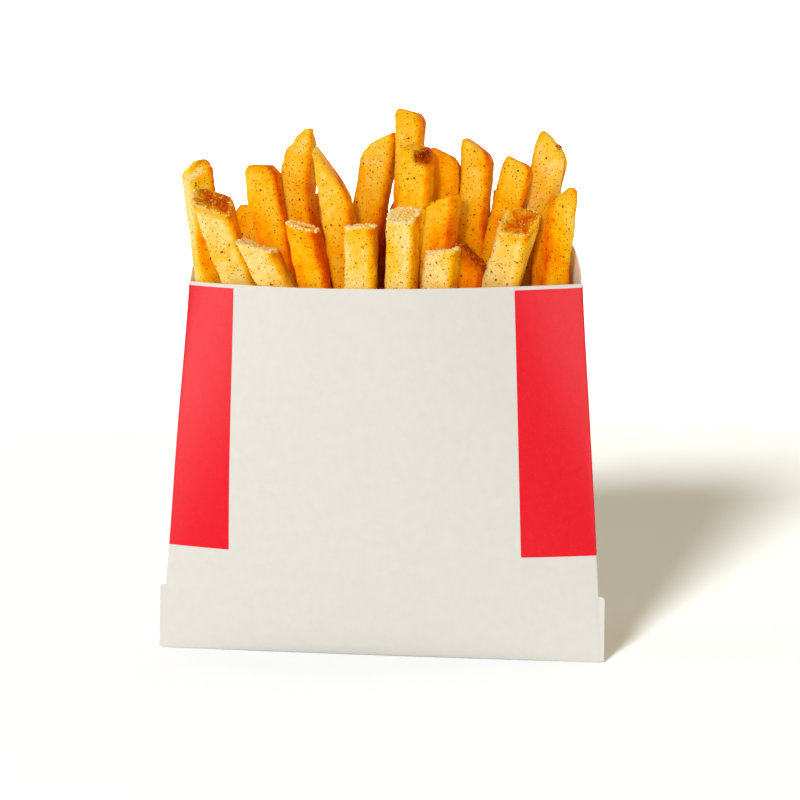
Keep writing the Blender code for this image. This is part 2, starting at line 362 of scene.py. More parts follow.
@dataclass
class Skin:
    """Points and faces of one piece as it grows, with the shades that its points carry."""

    points: list[np.ndarray] = field(default_factory=list)
    faces: list[np.ndarray] = field(default_factory=list)
    slots: list[np.ndarray] = field(default_factory=list)
    shades: dict[str, list[np.ndarray]] = field(default_factory=dict)
    count: int = 0

    def add_points(self, points: np.ndarray, **shades: np.ndarray) -> int:
        """Adds points and the shades they carry.

        Args:
            points: one row of x, y, z per point.
            shades: name to one value per point.

        Returns:
            The index of the first of them.
        """
        first = self.count
        self.points.append(points.reshape(-1, 3))
        self.count += len(self.points[-1])
        for name, values in shades.items():
            self.shades.setdefault(name, []).append(np.asarray(values, float).ravel())
        return first

    def add_faces(self, faces: np.ndarray, slot: int | np.ndarray = 0) -> None:
        """Adds faces of three or four corners, with one material slot or one for each."""
        self.faces.append(faces)
        self.slots.append(np.broadcast_to(slot, len(faces)))

    def add_grid(
        self, first: int, rows: int, columns: int, slot: int | np.ndarray = 0, closed: bool = False
    ) -> None:
        """Joins a grid of points, row after row, with four-cornered faces.

        Args:
            first: the index of the grid's first point.
            rows: how many rows of points there are.
            columns: how many points each row has.
            slot: one material slot, or one for each face.
            closed: whether each row's last point joins its first.
        """
        self.add_faces(grid_faces(first, rows, columns, closed), slot)

    def make(self, name: str, materials: list, smooth_angle: float = 40.0) -> bpy.types.Object:
        """Makes the piece and puts it on the fixed body.

        Args:
            name: the piece's name.
            materials: its finishes, in the order of the slots.
            smooth_angle: the angle in degrees past which an edge stays sharp.

        Returns:
            The object.
        """
        mesh = bpy.data.meshes.new(name)
        faces = [face for block in self.faces for face in block.tolist()]
        mesh.from_pydata(np.concatenate(self.points).tolist(), [], faces)
        for finish in materials:
            mesh.materials.append(finish)
        mesh.polygons.foreach_set("material_index", np.concatenate(self.slots).astype(np.int32))
        for shade, blocks in self.shades.items():
            layer = mesh.attributes.new(shade, "FLOAT", "POINT")
            layer.data.foreach_set("value", np.concatenate(blocks).astype(np.float32))
        mesh.validate()
        mesh.shade_smooth()
        mesh.set_sharp_from_angle(angle=radians(smooth_angle))
        made = bpy.data.objects.new(name, mesh)
        bpy.context.scene.collection.objects.link(made)
        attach(made, "root")
        log.info("%s: %d points, %d faces", name, len(mesh.vertices), len(mesh.polygons))
        return made


def grid_faces(first: int, rows: int, columns: int, closed: bool) -> np.ndarray:
    """Gives the faces of a grid of points.

    Args:
        first: the index of its first point.
        rows: how many rows of points there are.
        columns: how many points each row has.
        closed: whether each row's last point joins its first.

    Returns:
        One row of four point indices per face.
    """
    across = columns if closed else columns - 1
    row, column = np.meshgrid(np.arange(rows - 1), np.arange(across), indexing="ij")
    after = (column + 1) % columns
    corners = (row * columns + column, row * columns + after)
    higher = ((row + 1) * columns + after, (row + 1) * columns + column)
    return first + np.stack([*corners, *higher], axis=-1).reshape(-1, 4)


class Ripple:
    """Smooth seeded unevenness: sine waves of one length in many directions."""

    def __init__(self, chance: Chance, length: float, waves: int = 16) -> None:
        """Draws the waves.

        Args:
            chance: the seeded source of directions and phases.
            length: the wavelength in metres.
            waves: how many are added up.
        """
        direction = chance.normal(size=(waves, 3))
        direction /= np.linalg.norm(direction, axis=1)[:, None]
        self.pull = direction * (2.0 * pi / length) * chance.uniform(0.7, 1.3, (waves, 1))
        self.phase = chance.uniform(0.0, 2.0 * pi, waves)

    def at(self, points: np.ndarray) -> np.ndarray:
        """The unevenness at each point, mostly between -1 and 1."""
        waves = np.sin(points @ self.pull.T + self.phase)
        return waves.sum(axis=1) / np.sqrt(len(self.phase))


@dataclass(frozen=True)
class CartonForm:
    """The carton's two curved panels, with the sizes of its solid."""

    half_sheet: float = 0.0625
    front_height: float = 0.1017
    board: float = 0.0005
    edge_lean: float = 0.0107
    mouth_bulge: float = 0.025
    front_roundness: float = 1.91
    base_depth: float = 0.030
    back_roundness: float = 3.5
    arch_rise: float = 0.015
    arch_shoulder: float = 12.0
    arch_softness: float = 1.4

    def rise(self, z: Reals) -> Reals:
        """How far up the front panel a height is, from 0 to 1."""
        return np.clip(np.asarray(z, float) / self.front_height, 0.0, 1.0)

    def edge_y(self, z: Reals) -> Reals:
        """The y of the pinched side edges, which lean back as they rise."""
        return -self.edge_lean * (1.0 - self.rise(z))

    def pull(self) -> float:
        """How strongly the sheet narrows where it bulges."""
        return self.front_roundness**2 / (2.0 * self.front_roundness - 1.0)

    def half_chord(self, z: Reals) -> Reals:
        """Half the width between the side edges."""
        bulge = self.mouth_bulge * np.sqrt(self.rise(z))
        return np.sqrt(self.half_sheet**2 - self.pull() * bulge**2)

    def bulge(self, back: bool, z: Reals) -> Reals:
        """How far a panel's middle stands out from the side edges.

        Args:
            back: which panel.
            z: the height.

        Returns:
            The distance at each height.
        """
        if back:
            return self.base_depth + (self.mouth_bulge - self.base_depth) * self.rise(z)
        return self.mouth_bulge * np.sqrt(self.rise(z))

    def roundness(self, back: bool) -> float:
        """The power of a panel's curve."""
        return self.back_roundness if back else self.front_roundness

    def wall_y(self, back: bool, across: Reals, z: Reals) -> Reals:
        """The y of a panel's outer face.

        Args:
            back: which panel.
            across: from -1 to 1 between the side edges.
            z: the height.

        Returns:
            The y at each place.
        """
        share = np.minimum(np.abs(across), 1.0)
        out = self.bulge(back, z) * (1.0 - share ** self.roundness(back))
        return self.edge_y(z) + (out if back else -out)

    def top(self, back: bool, across: np.ndarray) -> np.ndarray:
        """The height of a panel's upper edge.

        Args:
            back: which panel; only the back one rises in an arch.
            across: from -1 to 1 between the side edges.

        Returns:
            The height at each place.
        """
        if not back:
            return np.full(np.shape(across), self.front_height)
        share = np.minimum(np.abs(across), 1.0)
        arch = (1.0 - share**self.arch_shoulder) ** (1.0 / self.arch_softness)
        return self.front_height + self.arch_rise * arch

    def inner_y(self, back: bool, x: Reals, z: Reals, gap: float) -> Reals:
        """The y that keeps a gap from a panel's inner face.

        Args:
            back: which panel.
            x: the place across, in metres.
            z: the height.
            gap: the distance to keep.

        Returns:
            The y at each place.
        """
        half = self.half_chord(z)
        share = np.minimum(np.abs(x) / half, 1.0)
        power = self.roundness(back)
        slope = self.bulge(back, z) * power * share ** (power - 1.0) / half
        offset = (self.board + gap) * np.sqrt(1.0 + slope**2)
        return self.wall_y(back, share, z) + (-offset if back else offset)

    def across_at(self, distance: float, z: float) -> float:
        """Turns a distance along the front sheet from its centre line to a share across.

        Args:
            distance: along the curved sheet, in metres.
            z: the height.

        Returns:
            The share, from 0 at the centre line to 1 at the side edge.
        """
        half = self.half_chord(z)
        power = 2.0 * self.front_roundness - 1.0
        share = np.linspace(0.0, 1.0, 400)
        pull = self.pull() * self.bulge(False, z) ** 2 / (2.0 * half)
        return float(np.interp(distance, half * share + pull * share**power, share))


class Board(Enum):
    """The carton's material slots."""

    WHITE = 0
    RED = 1
    INSIDE = 2
    CUT = 3


@dataclass
class Carton:
    """The carton: two panels in one sleeve, its base, and the gusset ends beside the base."""

    form: CartonForm
    field_low: float = 0.0288
    field_margin: float = 0.0010
    field_from_base: float = 0.0414
    field_from_rim: float = 0.0417
    fold_reach: float = 0.0007
    fold_points: int = 5
    plain_columns: int = 22
    field_columns: int = 14
    rows: int = 44
    low_rows: int = 11
    crease_share: float = 0.0018
    first_share: float = 0.006
    rim_strip: float = 0.00008
    base_rows: int = 9
    wave: float = 0.00012
    wave_length: float = 0.045
    still_height: float = 0.020
    crease: float = 0.00025
    rim_rounding: float = 0.00010
    tab_height: float = 0.0175
    tab_reach: float = 0.0626
    tab_inner: float = 0.0596
    tab_foot: float = 0.0005
    tab_corner: float = 0.0010
    tab_points: int = 7
    tab_bevel: float = 0.00008
    seed: int = 7

    def across_columns(self, z: float) -> np.ndarray:
        """Places a row's points, so that one column runs along the edge of each red field.

        Args:
            z: the row's height on the front panel.

        Returns:
            Shares across from -1 to 1, without the folds themselves.
        """
        part = self.form.rise(z)
        edge = self.field_from_base + (self.field_from_rim - self.field_from_base) * part
        print_edge = self.form.across_at(edge, z)
        last = 1.0 - self.fold_reach / float(self.form.half_chord(z))
        plain = np.linspace(-print_edge, print_edge, 2 * self.plain_columns + 1)
        side = np.linspace(print_edge, last, self.field_columns + 1)[1:]
        return np.concatenate([-side[::-1], plain, side])

    def row_heights(self) -> list[tuple[float, float]]:
        """Gives each row as a share of the panel's height, plus a fixed distance below its top.

        Returns:
            Pairs of share and distance, from the base to the rim.
        """
        low = self.field_low / self.form.front_height
        below = np.linspace(self.first_share, low, self.low_rows)
        above = np.linspace(low, 1.0, self.rows - self.low_rows)[1:-1]
        shares = (0.0, self.crease_share, *below, *above)
        drops = (self.field_margin, self.field_margin / 2.0, self.rim_strip, 0.0)
        return [(float(share), 0.0) for share in shares] + [(1.0, drop) for drop in drops]

    def heights(self, back: bool, across: np.ndarray, share: float, below: float) -> np.ndarray:
        """Gives the height of each point of a row.

        Args:
            back: which panel.
            across: the points, from -1 to 1 between the side edges.
            share: how far up the panel the row is; the arch starts above the fields' lower end.
            below: the distance under the panel's upper edge.

        Returns:
            One height per point.
        """
        low = self.field_low / self.form.front_height
        lift = max(share - low, 0.0) / (1.0 - low)
        rise = self.form.top(back, across) - self.form.front_height
        return share * self.form.front_height + lift * rise - below

    def ring(self, share: float, below: float) -> np.ndarray:
        """Gives one closed row round the sleeve: front, right fold, back, left fold.

        Args:
            share: how far up the panels.
            below: the distance under the panels' upper edges.

        Returns:
            One row of x, y, z per point.
        """
        across = self.across_columns(share * self.form.front_height)
        runs = []
        for back in (False, True):
            z = self.heights(back, across, share, below)
            half = self.form.half_chord(z)
            run = np.stack([across * half, self.form.wall_y(back, across, z), z], axis=1)
            runs.append(run[::-1] if back else run)
        z = share * self.form.front_height - below
        half = float(self.form.half_chord(z))
        bends = []
        for side, start, end in ((1.0, runs[0][-1], runs[1][0]), (-1.0, runs[1][-1], runs[0][0])):
            tip = np.array([side * half, float(self.form.edge_y(z)), z])
            t = (np.arange(self.fold_points) + 1.0)[:, None] / (self.fold_points + 1.0)
            bends.append((1.0 - t) ** 2 * start + 2.0 * t * (1.0 - t) * tip + t**2 * end)
        return np.concatenate([runs[0], bends[0], runs[1], bends[1]])

    def outward(self, ring: np.ndarray) -> np.ndarray:
        """Gives the level direction that looks out of the carton at each point of a row.

        Args:
            ring: one row of x, y, z per point.

        Returns:
            One direction per point.
        """
        along = np.roll(ring, -1, axis=0) - np.roll(ring, 1, axis=0)
        normal = np.stack([along[:, 1], -along[:, 0], np.zeros(len(ring))], axis=1)
        return normal / np.linalg.norm(normal, axis=1)[:, None]

    def panel_columns(self) -> int:
        """How many points of a row lie on one panel, without the folds."""
        return 2 * (self.plain_columns + self.field_columns) + 1

    def slots(self, columns: int, rows: int) -> np.ndarray:
        """Says which faces of the outer side are red, and which are the cut rim.

        Args:
            columns: how many points a row has.
            rows: how many rows there are.

        Returns:
            One slot per face.
        """
        run = np.zeros(self.panel_columns(), bool)
        run[: self.field_columns] = True
        run[-self.field_columns - 1 :] = True
        fold = np.ones(self.fold_points, bool)
        in_columns = np.concatenate([run, fold, run, fold])
        slots = np.full((rows - 1, columns), Board.WHITE.value)
        # The fields end below the rim's margin, which is the last strips of faces.
        slots[self.low_rows + 1 : -3] = np.where(in_columns, Board.RED.value, Board.WHITE.value)
        slots[-1] = Board.CUT.value
        return slots.ravel()

    def build_sleeve(self, skin: Skin, chance: Chance) -> None:
        """Adds both faces of the panels, the cut rim between them, and the base.

        Args:
            skin: the piece to add to.
            chance: the seeded source of the board's slight waves.
        """
        rows = self.row_heights()
        outer = np.array([self.ring(*row) for row in rows])
        columns = outer.shape[1]
        waves = Ripple(chance, self.wave_length)
        flat = np.array([self.outward(ring) for ring in outer])
        strength = np.clip(outer[:, :, 2] / self.still_height, 0.0, 1.0)[:, :, None]
        sway = waves.at(outer.reshape(-1, 3)).reshape(outer.shape[:2])[:, :, None]
        outer = outer + flat * sway * self.wave * strength
        # The creases at the base and the edge of the rim are drawn in, so that they are round.
        tuck = np.zeros(len(rows))
        tuck[:2] = (self.crease, 0.24 * self.crease)
        tuck[-1] = self.rim_rounding
        outer = outer - flat * tuck[:, None, None]
        inner = outer[2:-1] - flat[2:-1] * self.form.board
        lip = outer[-1] - flat[-1] * (self.form.board - 2.0 * self.rim_rounding)
        first = skin.add_points(outer)
        skin.add_grid(first, len(rows), columns, self.slots(columns, len(rows)), closed=True)
        rim = skin.add_points(np.concatenate([outer[-1], lip, inner[-1]]))
        skin.add_grid(rim, 3, columns, Board.CUT.value, closed=True)
        inside = skin.add_points(inner[::-1])
        skin.add_grid(inside, len(inner), columns, Board.INSIDE.value, closed=True)
        self.build_base(skin, outer[0], Board.WHITE.value, -1)
        self.build_base(skin, inner[0], Board.INSIDE.value, 1)

    def build_base(self, skin: Skin, ring: np.ndarray, slot: int, order: int) -> None:
        """Fills a row between its front and its back, a little above the creases it stands on.

        Args:
            skin: the piece to add to.
            ring: the row.
            slot: the material slot.
            order: 1 if the fill looks up, -1 if it looks down.
        """
        span = self.panel_columns()
        front = ring[:span]
        back = ring[span + self.fold_points : 2 * span + self.fold_points][::-1]
        share = np.linspace(0.0, 1.0, self.base_rows)[:, None, None]
        fill = front[None] * (1.0 - share) + back[None] * share
        fill[1:-1, :, 2] += self.form.board
        first = skin.add_points(fill[::order])
        skin.add_grid(first, self.base_rows, span, slot)

    def build_tab(self, name: str, side: float, white: bpy.types.Material) -> None:
        """Builds the gusset's folded end beside the base, a thin plate with bevelled edges.

        Args:
            name: the piece's name.
            side: 1 for the right, -1 for the left.
            white: the board's finish.
        """
        turn = np.linspace(0.0, pi / 2.0, self.tab_points)
        corner = self.tab_corner
        bend_x = self.tab_reach - corner + corner * np.cos(turn)
        bend_z = self.tab_height - corner + corner * np.sin(turn)
        x = np.concatenate([[self.tab_inner, self.tab_reach], bend_x, [self.tab_inner]]) * side
        z = np.concatenate([[self.tab_foot, self.tab_foot], bend_z, [self.tab_height]])
        plate = Skin()
        for shift in (0.0, self.form.board):
            plate.add_points(np.stack([x, self.form.edge_y(z) + shift, z], axis=1))
        count = len(x)
        face = np.arange(count)[None]
        plate.add_faces(face)
        plate.add_faces(face[:, ::-1] + count)
        plate.add_grid(0, 2, count, closed=True)
        made = plate.make(name, [white], 30.0)
        edge = made.modifiers.new("cut_edge", "BEVEL")
        edge.width = self.tab_bevel
        edge.segments = 2

    def build(self) -> None:
        """Builds and dresses the carton, and lets it stand for its solid."""
        white = Boxboard("white_boxboard_coated", "#E2DFD7", "#DFDBD1", 0.44, cloud_mm=2.6)
        red = Boxboard("red_ink_on_boxboard", "#F60420", "#EE001C", 0.30, 0.6, 2.0, pinhole="#F47874")
        inside = Boxboard("boxboard_bare_inside", "#FFFAEC", "#FDF0DA", 0.62, fibre_depth_mm=0.04)
        cut = Boxboard("boxboard_cut_edge", "#FBFAF4", "#F4F1E8", 0.7)
        finishes = [finish.material() for finish in (white, red, inside, cut)]
        skin = Skin()
        self.build_sleeve(skin, np.random.default_rng(self.seed))
        sleeve = skin.make("carton_sleeve", finishes, 50.0)
        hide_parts("carton")
        self.build_tab("gusset_end_left", -1.0, finishes[0])
        self.build_tab("gusset_end_right", 1.0, finishes[0])


class End(Enum):
    """How a fry's end was left by cutting and frying."""

    CUT = "cut"
    SLICED = "sliced"
    ROUNDED = "rounded"
    TUFTED = "tufted"
    CRUMBED = "crumbed"
    BROWNED = "browned"
    NOTCHED = "notched"
    TORN = "torn"
    POINTED = "pointed"


@dataclass(frozen=True)
class EndLook:
    """How one kind of end narrows, how rough its edge is, and the tone that it gains.

    Crown is how far down the narrowing starts, tip what it leaves of the width, and power how
    sudden it is.
    """

    crown_mm: float = 0.9
    tip: float = 0.90
    power: float = 2.0
    rough_mm: float = 0.07
    edge_tone: float = 0.18
    face_tone: float = 0.22


END_LOOKS = {
    End.CUT: EndLook(2.4, 0.74, 2.2),
    End.SLICED: EndLook(face_tone=-0.45),
    End.ROUNDED: EndLook(3.8, 0.62, 2.4),
    End.TUFTED: EndLook(2.4, 0.74, 2.2),
    End.CRUMBED: EndLook(rough_mm=0.22, edge_tone=-0.55, face_tone=0.10),
    End.BROWNED: EndLook(rough_mm=0.30, edge_tone=-0.25),
    End.NOTCHED: EndLook(1.8, 0.80, rough_mm=0.18, face_tone=-0.20),
    End.TORN: EndLook(rough_mm=0.55),
    End.POINTED: EndLook(9.0, 0.26, 1.7),
}


@dataclass(frozen=True)
class Fry:
    """One fry: where it crosses the rim, how high it ends, and how its end and faces look.

    Angles are in degrees. Lean is to the right, tilt to the back, slant raises the right side
    of the end, face raises its far side, and turn is about the fry's length. Tone runs from
    0, pale, to 1, amber; flank shade adds to it on the right face and takes from it on the
    left, partly the fry's own tone and partly painted shade on the side turned from the key
    light and painted light on the side facing it. Buried shade is how much tone its foot
    gains among its neighbours, painted shade of the gaps between fries; browning is how
    dark an end is.
    """

    x: float
    y: float
    top: float
    lean: float = 0.0
    width: float = 0.0088
    slant: float = 0.0
    face: float = 0.0
    tilt: float = 0.0
    turn: float = 0.0
    bow: float = 0.0
    end: End = End.CUT
    tone: float = 0.40
    flank_shade: float = 0.22
    buried_shade: float = 0.36
    browning: float = 0.40
    foot: float = 0.080


STANDING = (
    Fry(-0.0268, -0.0117, 0.1125, -27, 0.0085, -42, 6, end=End.CRUMBED, tone=0.16, flank_shade=0.28, buried_shade=0),
    Fry(-0.0151, -0.0155, 0.1180, -12, 0.0084, -27, 3, end=End.CRUMBED, tone=0.62, buried_shade=0.1),
    Fry(-0.0014, -0.0190, 0.1182, 0, 0.0081, 2, 2, end=End.CRUMBED, tone=0.24, flank_shade=0.34, buried_shade=0),
    Fry(0.0091, -0.0179, 0.1212, 2.4, 0.0080, 0, 25, end=End.CRUMBED, tone=0.16, flank_shade=0.42, buried_shade=0),
    Fry(0.0191, -0.0144, 0.1117, 6, 0.0086, 12, 2, end=End.CRUMBED, tone=0.14, flank_shade=0.42, buried_shade=0),
    Fry(
        0.0341, -0.0059, 0.1189, 18, 0.0097, 10, 32, -8,
        end=End.BROWNED, tone=0.10, flank_shade=0.24, buried_shade=0, browning=0.12,
    ),
    Fry(
        -0.0390, -0.0045, 0.1245, -19, 0.0093, -38, 30, -3,
        end=End.BROWNED, tone=0.16, flank_shade=0.28, buried_shade=0.1, browning=0.36,
    ),
    Fry(-0.0074, -0.0095, 0.1333, -8, 0.0084, -62, 0, 0, 8, tone=0.26, flank_shade=0.24),
    Fry(0.0104, -0.0098, 0.1387, 3, 0.0083, -8, 10, end=End.NOTCHED, tone=0.40),
    Fry(0.0165, -0.0098, 0.1252, 7, 0.0088, 26, 0, 0, -8, tone=0.42, flank_shade=0.10),
    Fry(0.0258, -0.0078, 0.1101, 6, 0.0076, -40, end=End.TORN, tone=0.50, buried_shade=0.1),
    Fry(-0.0354, -0.0010, 0.1229, -7, 0.0064, -8, end=End.ROUNDED, tone=0.44, buried_shade=0.12),
    Fry(-0.0267, -0.0048, 0.1340, -11, 0.0094, -13, 0, 0, 6, end=End.ROUNDED, tone=0.48),
    Fry(0.0298, 0.0010, 0.1347, 13, 0.0082, -14, 0, 4, 10, tone=0.40),
    Fry(0.0464, 0.0000, 0.1253, 6, 0.0082, 42, 0, 0, 38, end=End.ROUNDED, tone=0.32, flank_shade=-0.16),
    Fry(
        -0.0492, 0.0004, 0.1324, -6.5, 0.0077, 10, 34, 0, 36,
        end=End.SLICED, tone=0.30, flank_shade=0.30, buried_shade=0.1,
    ),
    Fry(-0.0165, -0.0015, 0.1436, -7.5, 0.0090, tilt=5, bow=-0.0046, end=End.POINTED, tone=0.46, flank_shade=0.18),
    Fry(-0.0074, -0.0002, 0.1412, 11, 0.0088, 36, 0, 2, end=End.ROUNDED, tone=0.37, flank_shade=0.18),
    Fry(0.0071, -0.0005, 0.1484, 1, 0.0074, -15, 0, 2, tone=0.38, flank_shade=0.15),
    Fry(0.0174, -0.0010, 0.1370, 0, 0.0081, -26, 0, 4, tone=0.50, flank_shade=0.08),
    Fry(0.0237, 0.0020, 0.1388, 4, 0.0081, -33, 0, 2, tone=0.42, flank_shade=0.15),
    Fry(0.0377, 0.0075, 0.1396, 13.5, 0.0091, -32, 0, 2, -12, end=End.TUFTED, tone=0.25, flank_shade=-0.10),
)


# The spread of the end's slopes, the tilt and the turn of fries that are placed by chance.
REAR_ANGLES = {"slant": (-35.0, 35.0), "face": (-25.0, 10.0), "tilt": (-3.0, 0.0), "turn": (-20.0, 20.0)}
SHORT_ANGLES = {"slant": (-40.0, 40.0), "face": (-35.0, 35.0), "tilt": (-12.0, 12.0), "turn": (-45.0, 45.0)}


def draw_angles(chance: Random, spreads: dict) -> dict[str, float]:
    """Draws one angle in degrees within each spread."""
    return {name: chance.uniform(*spread) for name, spread in spreads.items()}


@dataclass
class Surface:
    """The points of one fry before it is leaned and set in place.

    Place is across and along the fry, out the direction in which a point looks, near how near
    it is to a long corner, depth its distance from the end, and on_end 1 in the middle of the
    end face and 0 off it.
    """

    place: np.ndarray
    out: np.ndarray
    near: np.ndarray
    depth: np.ndarray
    on_end: np.ndarray

    def hump(self, reach: float, start: float = 0.0) -> np.ndarray:
        """A value that is 1 at a depth in millimetres and falls to 0 beyond its reach."""
        return np.exp(-(((self.depth - start * MM) / (reach * MM)) ** 2))

    def notch(self, width: float) -> np.ndarray:
        """Finds the burnt notch at the right front corner of an end.

        Args:
            width: the fry's width.

        Returns:
            How deep in the notch each point lies, from 0 to 1.
        """
        across = (self.place[:, 0] - 0.24 * width) / (0.24 * width)
        inward = (self.place[:, 1] + 0.46 * width) / (0.52 * width)
        return np.exp(-(across**4) - inward**2 - (self.depth / (2.9 * MM)) ** 4)


@dataclass
class Heap:
    """The fries: those that stand out of the carton, shorter ones between, and their crumbs.

    Waves are the crust's unevenness: height and length in millimetres, and how much of the
    length is kept along the fry. Inward is where the rows of an end face lie, from its edge.
    Each rear row has its distance from the back panel, its half width and its number of fries.
    """

    form: CartonForm
    sides: int = 44
    corner: float = 0.44
    step: float = 0.00085
    fine_step: float = 0.00030
    fine_reach: float = 2.4 * MM
    slope_reach: float = 6.0 * MM
    inward: tuple = (0.90, 0.74, 0.56, 0.38, 0.20, 0.05)
    waves: tuple = ((0.24, 8.0, 0.45), (0.14, 3.0, 0.45), (0.05, 1.3, 1.0))
    sunken_mm: float = 0.10
    clearance: float = 0.0005
    crumbs_from: float = 0.094
    # Painted shade: below this height, over this depth, the buried part of a fry gains amber tone.
    painted_shade_top: float = 0.132
    painted_shade_depth: float = 0.028
    rear_rows: tuple = ((0.0140, 0.0285, 6), (0.0050, 0.0400, 8))
    rear_top: float = 0.1240
    rear_width: float = 0.0088
    short_tries: int = 900
    short_reach: float = 0.047
    short_height: float = 0.098
    short_gap: float = 6.2 * MM
    short_width: float = 0.0086
    short_foot: float = 0.086
    edge_inset: float = 5.0 * MM
    core_levels_mm: tuple = (2.0, 4.0, 8.0, 16.0, 30.0, 50.0, 70.0, 85.0, 92.5)
    core_columns: int = 61
    bed_rows: int = 31
    seed: int = 41
    seats: list[tuple[np.ndarray, float, float]] = field(default_factory=list)

    def outline(self, sides: int) -> tuple[np.ndarray, np.ndarray, np.ndarray]:
        """Gives a fry's section: a square with rounded corners, its points evenly spaced.

        Args:
            sides: how many points it has.

        Returns:
            The points in half widths, their outward directions, and how near each is to a
            corner, from 0 to 1.
        """
        flat = 1.0 - self.corner
        bend = self.corner * pi / 2.0
        length = 4.0 * (2.0 * flat + bend)
        at = (np.arange(sides) + 0.5) * length / sides
        side = np.floor(at / (2.0 * flat + bend)).astype(int)
        rest = at - side * (2.0 * flat + bend)
        angle = np.clip(rest - 2.0 * flat, 0.0, bend) / self.corner
        on_flat = np.clip(rest, 0.0, 2.0 * flat)
        x = flat + self.corner * np.cos(angle)
        y = np.where(rest < 2.0 * flat, on_flat - flat, flat + self.corner * np.sin(angle))
        turn = side * pi / 2.0
        spin = np.stack([np.cos(turn), -np.sin(turn), np.sin(turn), np.cos(turn)]).reshape(2, 2, -1)
        points = np.einsum("ijk,jk->ik", spin, np.stack([x, y])).T
        away = np.einsum("ijk,jk->ik", spin, np.stack([np.cos(angle), np.sin(angle)])).T
        near = np.abs(np.abs(points[:, 0]) - np.abs(points[:, 1]))
        return points, away, np.clip(1.0 - near / 0.45, 0.0, 1.0)

    def keep_inside(self, points: np.ndarray, gap: float) -> np.ndarray:
        """Presses points that pass a panel back, by all but a tenth of their excess.

        Args:
            points: one row of x, y, z per point.
            gap: the distance to keep from the board.

        Returns:
            The points in front of the back panel and, below the rim, inside the carton.
        """
        z = np.minimum(points[:, 2], self.form.front_height)
        limit = self.form.half_chord(z) - 2.0 * self.form.board - gap
        x, y = points[:, 0].copy(), points[:, 1].copy()
        held = np.where(np.abs(x) > limit, np.sign(x) * (limit - 0.1 * (np.abs(x) - limit)), x)
        below = points[:, 2] < self.form.front_height + 0.2 * MM
        back = self.form.inner_y(True, held, z, gap)
        front = np.minimum(self.form.inner_y(False, held, z, gap), back)
        x = np.where(below, held, x)
        y = np.where(y > back, back - 0.1 * (y - back), y)
        y = np.where(below & (y < front), front + 0.1 * (front - y), y)
        return np.stack([x, y, points[:, 2]], axis=1)

    def cut_bar(self, fry: Fry, low: float, high: float, sides: int, coarse: float) -> Surface:
        """Shapes the smooth bar of one fry, in rows from its foot to the middle of its end.

        Args:
            fry: the fry.
            low: where its foot is along it, counted from the rim.
            high: where its end is.
            sides: how many points its section has.
            coarse: how much wider than usual its rows are apart.

        Returns:
            The bar's points.
        """
        section, away, near = self.outline(sides)
        spin = np.array(Matrix.Rotation(radians(fry.turn), 2))
        section, away = section @ spin.T, away @ spin.T
        fine = np.arange(0.0, self.fine_reach, self.fine_step * coarse)
        body = np.arange(self.fine_reach, high - low, self.step * coarse)
        depth = np.concatenate([fine, body, [high - low]])[::-1]
        look = END_LOOKS[fry.end]
        closing = np.clip(1.0 - depth / (look.crown_mm * MM), 0.0, 1.0) ** look.power
        girth = 1.0 - (1.0 - look.tip) * closing
        inward = np.array(self.inward)
        on_end = np.concatenate([np.zeros(len(depth)), 1.0 - inward])
        depth = np.concatenate([depth, np.zeros(len(inward))])
        girth = np.concatenate([girth, girth[-1] * inward])
        flat = section[None] * (fry.width / 2.0 * girth[:, None, None])
        reach = max(high, self.slope_reach)
        share = np.clip((reach - depth) / reach, 0.0, 1.0)
        lift = flat[:, :, 0] * tan(radians(fry.slant)) + flat[:, :, 1] * tan(radians(fry.face))
        along = (high - depth)[:, None] + share[:, None] * lift
        flat[:, :, 0] += (fry.bow * np.sin(pi * share))[:, None]
        if fry.end is End.POINTED:
            closing = np.concatenate([closing, np.ones(len(inward))])
            flat[:, :, 0] += 0.10 * fry.width * closing[:, None]
        ahead = on_end[:, None, None]
        out = np.broadcast_to(away[None], flat.shape) * (1.0 - ahead)
        out = np.concatenate([out, np.broadcast_to(ahead, (*flat.shape[:2], 1))], axis=2)
        return Surface(
            place=np.concatenate([flat, along[:, :, None]], axis=2).reshape(-1, 3),
            out=out.reshape(-1, 3),
            near=np.broadcast_to(near[None], flat.shape[:2]).ravel(),
            depth=np.repeat(depth, sides),
            on_end=np.repeat(on_end, sides),
        )

    def add_fry(self, skin: Skin, fry: Fry, chance: Chance, sides: int, coarse: float) -> None:
        """Adds one fry as a closed mesh of its own.

        Args:
            skin: the piece to add to.
            fry: the fry.
            chance: the seeded source of its unevenness.
            sides: how many points its section has.
            coarse: how much wider than usual its rows are apart.
        """
        lean = Matrix.Rotation(radians(fry.lean), 3, "Y")
        frame = np.array(lean @ Matrix.Rotation(-radians(fry.tilt), 3, "X"))
        rim = self.form.front_height
        low, high = (fry.foot - rim) / frame[2, 2], (fry.top - rim) / frame[2, 2]
        surface = self.cut_bar(fry, low, high, sides, coarse)
        relief = self.relief(fry, surface, chance)
        surface.place = surface.place + surface.out * relief[:, None]
        tone, toast = self.shades(fry, surface, chance)
        points = np.array([fry.x, fry.y, rim]) + surface.place @ frame.T
        points = self.keep_inside(points, self.clearance + chance.uniform(0.0, 0.3) * MM)
        self.strew(fry, surface, points, chance)
        first = skin.add_points(points, tone=tone, toast=toast)
        rows = len(points) // sides
        skin.add_grid(first, rows, sides, closed=True)
        for start, turned in (((rows - 1) * sides, False), (0, True)):
            middle = points[start : start + sides].mean(axis=0)
            hub = skin.add_points(middle, tone=tone[-1:], toast=toast[-1:])
            at = np.arange(sides)
            ring = [first + start + at, first + start + (at + 1) % sides]
            fan = np.stack([*ring, np.full(sides, hub)], axis=1)
            skin.add_faces(fan[:, ::-1] if turned else fan)

